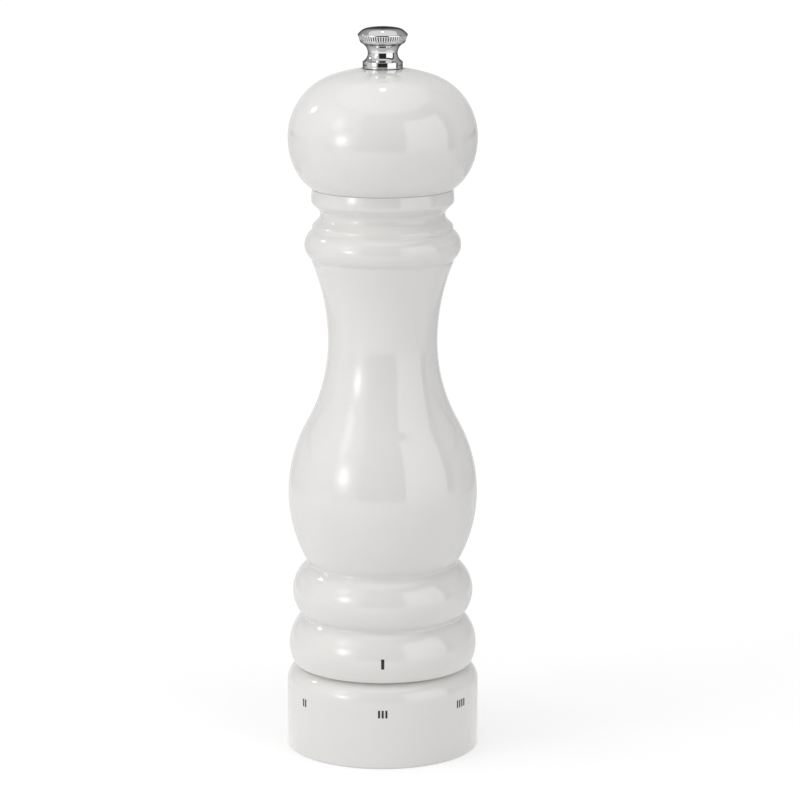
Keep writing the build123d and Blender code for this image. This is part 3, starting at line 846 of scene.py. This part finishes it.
@dataclass(frozen=True)
class SettingRing:
    """The turned foot ring."""

    foot: float
    top: float
    radius: float = 29.5
    shoulder: float = 6.0
    foot_round: float = 0.6
    bore: float = 22.6
    lip: Spot = (20.8, 2.0)
    edge: float = 0.25

    def profile(self) -> list[Spot]:
        """Draw the foot, the rounded shoulder and the stepped bore.

        Returns:
            The closed outline.
        """
        line = Profile(self.lip[0], self.foot).lines((self.radius - self.foot_round, self.foot))
        low = (self.radius - self.foot_round, self.foot + self.foot_round)
        line.arc(low, (self.radius, low[1]))
        line.lines((self.radius, (self.foot + self.top) / 2))
        high = (self.radius - self.shoulder, self.top - self.shoulder)
        line.lines((self.radius, high[1]))
        line.arc(high, (high[0], self.top))
        lip_top = self.foot + self.lip[1]
        line.lines((self.bore, self.top), (self.bore, lip_top), (self.lip[0], lip_top))
        return line.closed()

    def build(self) -> bpy.types.Object:
        """Turn the ring and lacquer it.

        Returns:
            The finished piece.
        """
        piece = Lathe.turn("turned_setting_ring", self.profile())
        Lathe.soften(piece, self.edge)
        settle(piece, Body.RING, "lacquered_wood", Finishes.RING, "adjust_ring")
        return piece


@dataclass(frozen=True)
class Head:
    """The turned ball head with its spigot and its seat for the knob.

    The recess has its radius and its height above the foot, the seat its radius and its depth.
    """

    foot: float
    rim: float
    radius: float = 28.6
    rim_radius: float = 21.25
    widest_rise: float = 15.55
    height: float = 36.6
    crown_curve: float = 48.7
    cheek_curve: float = 23.05
    cheek_angle: float = 20.0
    spigot_radius: float = 13.75
    recess: Spot = (9.45, 2.0)
    shaft_bore: float = 4.49
    stud_bore: float = 2.95
    neck_height: float = 12.0
    seat: Spot = (6.3, 0.8)
    edge: float = 0.08

    def profile(self) -> list[Spot]:
        """Draw the spigot, the ball, the knob's seat and the bore.

        Returns:
            The closed outline.
        """
        top = self.rim + self.height
        widest = self.rim + self.widest_rise
        crown = (0.0, top - self.crown_curve)
        rise = widest - crown[1]
        flatter = self.crown_curve - self.radius
        side_curve = (self.crown_curve ** 2 - self.radius ** 2 - rise ** 2) / (2 * flatter)
        side = (self.radius - side_curve, widest)
        share = self.crown_curve / (self.crown_curve - side_curve)
        smooth = (side[0] * share, crown[1] + rise * share)

        cheek = (self.radius - self.cheek_curve, widest)
        way = (cos(radians(self.cheek_angle)), -sin(radians(self.cheek_angle)))
        chin = (cheek[0] + self.cheek_curve * way[0], cheek[1] + self.cheek_curve * way[1])
        drop = (chin[0] - self.rim_radius, chin[1] - self.rim)
        chin_curve = (drop[0] ** 2 + drop[1] ** 2) / (2 * (drop[0] * way[0] + drop[1] * way[1]))
        chin_centre = (chin[0] - chin_curve * way[0], chin[1] - chin_curve * way[1])

        seat_floor = top - self.seat[1]
        seat_edge = crown[1] + sqrt(self.crown_curve ** 2 - self.seat[0] ** 2)
        ledge = seat_floor - self.neck_height
        recess_top = self.foot + self.recess[1]
        line = Profile(self.recess[0], self.foot)
        line.lines((self.spigot_radius, self.foot), (self.spigot_radius, self.rim))
        line.lines((self.rim_radius, self.rim))
        line.arc(chin_centre, chin)
        line.arc(cheek, (self.radius, widest))
        line.arc(side, smooth)
        line.arc(crown, (self.seat[0], seat_edge))
        line.lines((self.seat[0], seat_floor), (self.stud_bore, seat_floor), (self.stud_bore, ledge))
        line.lines((self.shaft_bore, ledge), (self.shaft_bore, recess_top), (self.recess[0], recess_top))
        return line.closed()

    def build(self) -> bpy.types.Object:
        """Turn the head and lacquer it.

        Returns:
            The finished piece.
        """
        piece = Lathe.turn("turned_head", self.profile())
        Lathe.soften(piece, self.edge)
        settle(piece, Body.HEAD, "lacquered_wood", Finishes.HEAD, "head_shell")
        return piece


@dataclass(frozen=True)
class Knob:
    """The polished knob, with a plain reeded cheek below its domed top.

    A spot holds a radius and a height above the foot. The reeds run between two shares of the cheek.
    """

    foot: float
    top: float
    flange_radius: float = 6.0
    waist: Spot = (4.46, 4.5)
    low_curve: float = 2.8
    high_curve: float = 3.25
    chin_radius: float = 6.45
    cheek: Spot = (6.85, 8.0)
    rim: Spot = (7.5, 9.85)
    rim_height: float = 0.3
    step: Spot = (6.7, 10.95)
    shoulder: Spot = (4.6, 12.0)
    insert_radius: float = 3.63
    insert_roof: float = 2.7
    recess: Spot = (5.3, 0.6)
    edge: float = 0.18
    reeds: int = 60
    reed_depth: float = 0.1
    reed_border: float = 0.05
    reed_share: Spot = (0.22, 0.96)

    def profile(self) -> list[Spot]:
        """Draw the flange, the waist, the reeded cheek, the rim, the domed top and the hollow.

        Returns:
            The closed outline.
        """
        waist = self.foot + self.waist[1]
        low_hollow = (self.waist[0] + self.low_curve, waist)
        high_hollow = (self.waist[0] + self.high_curve, waist)
        flange_top = waist - sqrt(self.low_curve ** 2 - (low_hollow[0] - self.flange_radius) ** 2)
        chin = waist + sqrt(self.high_curve ** 2 - (high_hollow[0] - self.chin_radius) ** 2)
        step, shoulder = self.raised(self.step), self.raised(self.shoulder)
        dome = (0.0, self.top - chord_radius(shoulder[0], self.top - shoulder[1]))
        roof = self.top - self.insert_roof
        recess_top = self.foot + self.recess[1]

        line = Profile(self.recess[0], self.foot)
        line.lines((self.flange_radius, self.foot), (self.flange_radius, flange_top))
        line.arc(low_hollow, (self.waist[0], waist))
        line.arc(high_hollow, (self.chin_radius, chin))
        line.lines(self.raised(self.cheek), *self.reed_ends(), self.raised(self.rim))
        line.lines((self.rim[0], self.foot + self.rim[1] + self.rim_height), step)
        line.arc(tangent_centre(dome, shoulder, step), shoulder)
        line.arc(dome, (0.0, self.top))
        line.lines((0.0, roof), (self.insert_radius, roof), (self.insert_radius, recess_top))
        line.lines((self.recess[0], recess_top))
        return line.closed()

    def raised(self, spot: Spot) -> Spot:
        """Spot of the outline from its radius and its height above the foot."""
        return (spot[0], self.foot + spot[1])

    def reed_ends(self) -> tuple[Spot, ...]:
        """Place the ends of the reeded band on the cheek.

        Returns:
            Its lower end and its upper end.
        """
        low, high = self.raised(self.cheek), self.raised(self.rim)
        run = (high[0] - low[0], high[1] - low[1])
        return tuple((low[0] + part * run[0], low[1] + part * run[1]) for part in self.reed_share)

    def reed(self, piece: bpy.types.Object) -> None:
        """Sink every second face of the cheek by a little and give it the near-black groove finish:
        painted shade in the grooves.

        Args:
            piece: the turned knob.
        """
        (narrow, low), (wide, high) = self.reed_ends()
        bpy.ops.object.mode_set(mode="EDIT")
        bpy.ops.mesh.select_mode(type="FACE")
        bpy.ops.mesh.select_all(action="DESELECT")
        bpy.ops.object.mode_set(mode="OBJECT")
        for face in piece.data.polygons:
            middle = face.center / MM
            on_band = low < middle.z < high and narrow < hypot(middle.x, middle.y) < wide
            turn = atan2(middle.y, middle.x) / (2 * pi) * self.reeds
            face.select = on_band and turn % 1.0 < 0.5
        bpy.ops.object.mode_set(mode="EDIT")
        border = self.reed_border * MM
        sink = -self.reed_depth * MM
        bpy.ops.mesh.inset(thickness=border, depth=sink, use_individual=True)
        # The sunken faces take the near-black groove finish, which paints shade into the grooves.
        piece.active_material_index = 1
        bpy.ops.object.material_slot_assign()
        bpy.ops.object.mode_set(mode="OBJECT")
        bpy.ops.object.shade_smooth_by_angle(angle=Lathe.SMOOTH_ANGLE)

    def build(self) -> bpy.types.Object:
        """Turn the knob, reed its cheek and polish it.

        Returns:
            The finished piece.
        """
        piece = Lathe.turn("turned_knob", self.profile(), 2 * self.reeds)
        Lathe.soften(piece, self.edge)
        piece.data.materials.append(Finishes.CHROME.material())
        # Second slot: the near-black groove finish, painted shade for the sunken reeds.
        piece.data.materials.append(Finishes.GROOVE_PAINTED_SHADE.material())
        self.reed(piece)
        settle(piece, Body.KNOB, "chrome", None, "knob")
        return piece


@dataclass(frozen=True)
class TallyPrint:
    """Printed bars: one pointer on the body, and the count of each setting on the ring."""

    ring_bar: Spot = (0.64, 2.4)
    ring_bar_pitch: float = 1.11
    ring_bar_height: float = 17.25
    ring_radius: float = SettingRing.radius
    pointer_bar: Spot = (0.95, 3.1)
    pointer_height: float = 32.7
    settings: int = 6
    front_setting: int = 3
    setting_step: float = 54.0
    ink: float = 0.03
    stand_off: float = 60.0
    columns: int = 3
    rows: int = 9

    def bar(self, size: Spot, height: float, carrier: bpy.types.Object) -> bpy.types.Object:
        """Lay one bar of ink on the front of a turned piece.

        Args:
            size: width and height of the bar.
            height: height of its middle.
            carrier: the piece that it is printed on.

        Returns:
            The bar, wrapped on the surface.
        """
        Lathe.clear()
        bpy.ops.mesh.primitive_grid_add(x_subdivisions=self.columns, y_subdivisions=self.rows, size=1.0)
        piece = bpy.context.active_object
        piece.scale = (size[0] * MM, size[1] * MM, 1.0)
        piece.rotation_euler = (pi / 2, 0.0, 0.0)
        piece.location = (0.0, -self.stand_off * MM, height * MM)
        bpy.ops.object.transform_apply(location=True, rotation=True, scale=True)
        wrap = piece.modifiers.new("wrap", "SHRINKWRAP")
        wrap.target = carrier
        wrap.wrap_method = "PROJECT"
        wrap.use_project_y = True
        wrap.use_positive_direction = True
        wrap.use_negative_direction = False
        bpy.ops.object.modifier_apply(modifier=wrap.name)
        skin = piece.modifiers.new("ink", "SOLIDIFY")
        skin.thickness = self.ink * MM
        skin.offset = 1.0
        bpy.ops.object.modifier_apply(modifier=skin.name)
        return piece

    def count(self, setting: int, bar: bpy.types.Object) -> bpy.types.Object:
        """Copy the first bar to make the mark of one setting, at its place on the ring.

        Args:
            setting: the number of bars.
            bar: the bar at the front of the ring.

        Returns:
            The joined bars.
        """
        place = radians((setting - self.front_setting) * self.setting_step)
        copies = []
        for number in range(setting):
            Lathe.clear()
            bar.select_set(True)
            bpy.context.view_layer.objects.active = bar
            bpy.ops.object.duplicate()
            copy = bpy.context.active_object
            offset = (number - (setting - 1) / 2) * self.ring_bar_pitch / self.ring_radius
            copy.rotation_euler.z = place + offset
            copies.append(copy)
        Lathe.clear()
        for copy in copies:
            copy.select_set(True)
        bpy.context.view_layer.objects.active = copies[0]
        bpy.ops.object.transform_apply(location=False, rotation=True, scale=False)
        if setting > 1:
            bpy.ops.object.join()
        mark = bpy.context.active_object
        mark.name = f"print_setting_{setting}"
        return mark

    def build(self, body: bpy.types.Object, ring: bpy.types.Object) -> None:
        """Print the pointer on the body and every setting on the ring.

        Args:
            body: the turned body.
            ring: the turned setting ring.
        """
        pointer = self.bar(self.pointer_bar, self.pointer_height, body)
        pointer.name = "print_pointer"
        settle(pointer, Body.MILL, "black_plastic", Finishes.INK)
        bar = self.bar(self.ring_bar, self.ring_bar_height, ring)
        for setting in range(1, self.settings + 1):
            settle(self.count(setting, bar), Body.RING, "black_plastic", Finishes.INK)
        bpy.data.objects.remove(bar)


@dataclass(frozen=True)
class Softbox:
    """A studio lamp that stands around the mill and faces it.

    A mirrored lamp is oval and shows in gloss. Another one is rectangular and only lights.
    Angles are in degrees from the front, to the right and upwards, lengths in metres and power in watts.
    """

    name: str
    azimuth: float
    elevation: float
    distance: float
    width: float
    height: float
    power: float
    mirrored: bool = False

    def build(self, target: Vector) -> None:
        """Set the lamp up, hidden from the camera.

        Args:
            target: the point that the lamp faces.
        """
        data = bpy.data.lights.new(self.name, "AREA")
        data.shape = "ELLIPSE" if self.mirrored else "RECTANGLE"
        data.size = self.width
        data.size_y = self.height
        data.energy = self.power
        lamp = bpy.data.objects.new(self.name, data)
        bpy.context.scene.collection.objects.link(lamp)
        flat = cos(radians(self.elevation))
        way = Vector((
            sin(radians(self.azimuth)) * flat,
            -cos(radians(self.azimuth)) * flat,
            sin(radians(self.elevation)),
        ))
        lamp.location = target + way * self.distance
        lamp.rotation_euler = way.to_track_quat("Z", "Y").to_euler()
        lamp.visible_camera = False
        lamp.visible_glossy = self.mirrored


@dataclass(frozen=True)
class Panel:
    """A lit part of the studio wall, between two azimuths in degrees and two heights in metres."""

    start: float
    end: float
    low: float
    high: float
    level: float
    soft: float


def show_in_gloss_only(staging: bpy.types.Object) -> None:
    """Leave a piece of the studio to be seen in reflections and nowhere else.

    Args:
        staging: the piece of the studio.
    """
    staging.visible_camera = False
    staging.visible_diffuse = False
    staging.visible_transmission = False
    staging.visible_shadow = False


def staging_graph(staging: bpy.types.Object) -> Graph:
    """Give a piece of the studio a material of its own name.

    Args:
        staging: the piece of the studio.

    Returns:
        The empty node tree of the material.
    """
    material = bpy.data.materials.new(staging.name)
    material.use_nodes = True
    staging.data.materials.append(material)
    return Graph(material.node_tree)


@dataclass(frozen=True)
class Flag:
    """A dim card that stands beside the mill and draws the edges of white and chrome."""

    name: str
    azimuth: float
    distance: float
    width: float
    low: float
    high: float
    level: float

    def build(self) -> None:
        """Stand the card up, square to the mill."""
        Lathe.clear()
        turn = radians(self.azimuth)
        place = (sin(turn) * self.distance, -cos(turn) * self.distance, (self.low + self.high) / 2)
        bpy.ops.mesh.primitive_plane_add(size=1.0, location=place, rotation=(radians(90), 0.0, turn))
        card = bpy.context.active_object
        card.name = self.name
        card.scale = (self.width, self.high - self.low, 1.0)
        graph = staging_graph(card)
        graph.show(graph.glow(self.level))
        show_in_gloss_only(card)


@dataclass(frozen=True)
class StudioWall:
    """The dark wall round the table with its lit panels, which shows only in gloss."""

    radius: float = 0.88
    height: float = 1.35
    facets: int = 96
    level: float = 0.03
    edge: float = 0.02
    panels: tuple[Panel, ...] = (
        Panel(-97.0, -31.0, -1.0, 1.25, 0.85, 5.0),
        Panel(28.0, 84.0, -1.0, 0.85, 1.45, 0.7),
        Panel(97.0, 181.0, -1.0, 0.4, 0.65, 4.0),
        Panel(97.0, 143.0, 0.4, 2.0, 0.5, 4.0),
        Panel(143.0, 181.0, 0.4, 2.0, 0.6, 4.0),
        Panel(-181.0, -97.0, -1.0, 0.4, 0.75, 4.0),
        Panel(-143.0, -97.0, 0.4, 2.0, 0.5, 4.0),
        Panel(-181.0, -143.0, 0.4, 2.0, 0.6, 4.0),
    )

    def build(self) -> None:
        """Raise the wall from a ring and paint its panels."""
        Lathe.clear()
        bpy.ops.mesh.primitive_circle_add(vertices=self.facets, radius=self.radius)
        wall = bpy.context.active_object
        wall.name = "studio_wall"
        bpy.ops.object.mode_set(mode="EDIT")
        bpy.ops.mesh.select_mode(type="EDGE")
        bpy.ops.mesh.select_all(action="SELECT")
        bpy.ops.mesh.extrude_region_move(TRANSFORM_OT_translate={"value": (0.0, 0.0, self.height)})
        bpy.ops.object.mode_set(mode="OBJECT")
        self.paint(staging_graph(wall))
        show_in_gloss_only(wall)

    def paint(self, graph: Graph) -> None:
        """Light the wall by azimuth and height.

        Args:
            graph: the empty node tree of the wall.
        """
        up = graph.axis("Z")
        across = graph.axis("X")
        front = graph.axis("Y") * -1.0
        turn = graph.node("ShaderNodeMath", {"operation": "ARCTAN2"}, {0: across, 1: front})
        light: Value = self.level
        for panel in self.panels:
            soft = radians(panel.soft)
            sides = turn.below(radians(panel.end), soft) * (1.0 - turn.below(radians(panel.start), soft))
            ends = up.below(panel.high, self.edge) * (1.0 - up.below(panel.low, self.edge))
            light = light + sides * ends * (panel.level - self.level)
        graph.show(graph.glow(light))


@dataclass(frozen=True)
class Studio:
    """Pale floor, soft lamps, lit walls and the camera of the photograph."""

    camera_place: Triple = (0.0, -0.97243, 0.306355)
    camera_tilt: float = 78.481
    sensor: float = 36.0
    lens: float = 146.33
    shift: float = 0.0216
    floor_size: float = 14.0
    floor_drop: float = 0.0001
    paper: Colour = (0.8, 0.8, 0.8)
    seen_paper: Colour = (0.5, 0.5, 0.5)
    floor_glow: float = 0.74
    near_floor: float = 0.7
    near_dip: float = 0.2
    back_fade: float = 0.05
    back_dip: float = 0.3
    left_gain: float = 0.1
    room_light: float = 0.56
    target: Triple = (0.0, 0.0, 0.11)
    flags: tuple[Flag, ...] = (
        Flag("left_flag", -127.0, 0.42, 0.38, 0.0, 0.3, 0.6),
        Flag("right_flag", 129.0, 0.42, 0.4, 0.0, 0.3, 0.5),
        Flag("left_edge_flag", -124.0, 0.4, 0.32, 0.158, 0.178, 0.2),
        Flag("right_edge_flag", 126.0, 0.4, 0.36, 0.158, 0.178, 0.2),
    )
    lamps: tuple[Softbox, ...] = (
        Softbox("left_bank", -72.0, 24.0, 1.3, 0.9, 1.2, 3.7),
        Softbox("right_fill", 50.0, 20.0, 1.4, 0.9, 0.9, 3.0),
        Softbox("overhead", 0.0, 80.0, 1.3, 0.9, 0.9, 4.0),
        Softbox("left_heart", -50.0, 9.0, 0.81, 0.1, 0.1, 0.054, True),
        Softbox("left_core", -50.0, 9.0, 0.82, 0.18, 0.18, 0.16, True),
        Softbox("left_rim", -50.0, 9.0, 0.83, 0.27, 0.27, 0.26, True),
        Softbox("left_glow", -50.0, 9.0, 0.85, 0.4, 0.4, 0.25, True),
        Softbox("left_upper_core", -59.0, 32.0, 0.84, 0.13, 0.2, 0.058, True),
        Softbox("left_upper_rim", -59.0, 32.0, 0.85, 0.24, 0.34, 0.17, True),
        Softbox("back_core", -114.0, 33.0, 0.85, 0.1, 0.1, 0.2, True),
        Softbox("overhead_core", 180.0, 77.0, 0.85, 0.06, 0.14, 0.1, True),
    )

    def build(self) -> None:
        """Set up the whole studio."""
        self.build_camera()
        self.build_floor()
        self.build_room()
        StudioWall().build()
        for flag in self.flags:
            flag.build()
        for lamp in self.lamps:
            lamp.build(Vector(self.target))

    def build_camera(self) -> None:
        """Stand the camera where the photograph was taken."""
        data = bpy.data.cameras.new("camera")
        data.lens = self.lens
        data.sensor_width = self.sensor
        data.shift_x = self.shift
        camera = bpy.data.objects.new("camera", data)
        bpy.context.scene.collection.objects.link(camera)
        camera.location = self.camera_place
        camera.rotation_euler = (radians(self.camera_tilt), 0.0, 0.0)
        bpy.context.scene.camera = camera

    def build_floor(self) -> None:
        """Lay a white floor that keeps the shadow of the mill."""
        Lathe.clear()
        bpy.ops.mesh.primitive_plane_add(size=self.floor_size, location=(0.0, 0.0, -self.floor_drop))
        floor = bpy.context.active_object
        floor.name = "studio_floor"
        graph = staging_graph(floor)
        paper = graph.node("ShaderNodeBsdfDiffuse", {}, {"Color": self.paper})
        shadow = graph.node("ShaderNodeBsdfDiffuse", {}, {"Color": self.seen_paper})
        near = graph.radius().below(self.near_floor, self.near_floor)
        left = graph.axis("X").below(0.0, self.back_fade)
        behind = 1.0 - graph.axis("Y").below(self.back_fade, self.back_fade)
        gloss = graph.node("ShaderNodeLightPath", {}, {}, "Is Glossy Ray")
        back = gloss * behind * (self.back_dip - left * self.left_gain)
        strength = self.floor_glow - near * self.near_dip - back
        white = graph.node("ShaderNodeAddShader", {}, {0: shadow, 1: graph.glow(strength)})
        graph.show(graph.node("ShaderNodeMixShader", {}, {0: self.seen_rays(graph), 1: paper, 2: white}))

    @staticmethod
    def seen_rays(graph: Graph) -> Signal:
        """Mark the rays that show the background: seen straight, in gloss or through glass.

        Args:
            graph: the node tree to add to.

        Returns:
            The mask, 1 for such a ray and 0 for another.
        """
        path = "ShaderNodeLightPath"
        straight = graph.node(path, {}, {}, "Is Camera Ray")
        gloss = graph.node(path, {}, {}, "Is Glossy Ray")
        through = graph.node(path, {}, {}, "Is Transmission Ray")
        return straight | gloss | through

    def build_room(self) -> None:
        """Light the room evenly, white where it is seen."""
        scene = bpy.context.scene
        scene.world = bpy.data.worlds.new("studio")
        scene.world.use_nodes = True
        graph = Graph(scene.world.node_tree)
        strength = self.room_light + self.seen_rays(graph) * (1.0 - self.room_light)
        light = graph.node("ShaderNodeBackground", {}, {"Color": PURE_WHITE, "Strength": strength})
        graph.node("ShaderNodeOutputWorld", {}, {"Surface": light})
        scene.view_settings.view_transform = "Standard"


def dress_nodes(frame: dict[str, Any]) -> None:
    """Give every model node its finish, by its slot in the record.

    Args:
        frame: the loaded frame.
    """
    for part in frame["record"]["subparts"]:
        Finishes.SLOTS[part["material_slot"]].dress(frame["nodes"][part["node"]])


def main() -> None:
    """Load the frame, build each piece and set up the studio."""
    logging.basicConfig(level=logging.INFO, format="%(name)s: %(message)s")
    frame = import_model()
    dress_nodes(frame)
    body = BodyShell(*levels("body_shell")).build()
    ring = SettingRing(*levels("adjust_ring")).build()
    Head(levels("head_shell")[0], levels("body_shell")[1] + HEAD_SEAM).build()
    Knob(*levels("knob")).build()
    TallyPrint().build(body, ring)
    Studio().build()


if __name__ == "__main__":
    main()
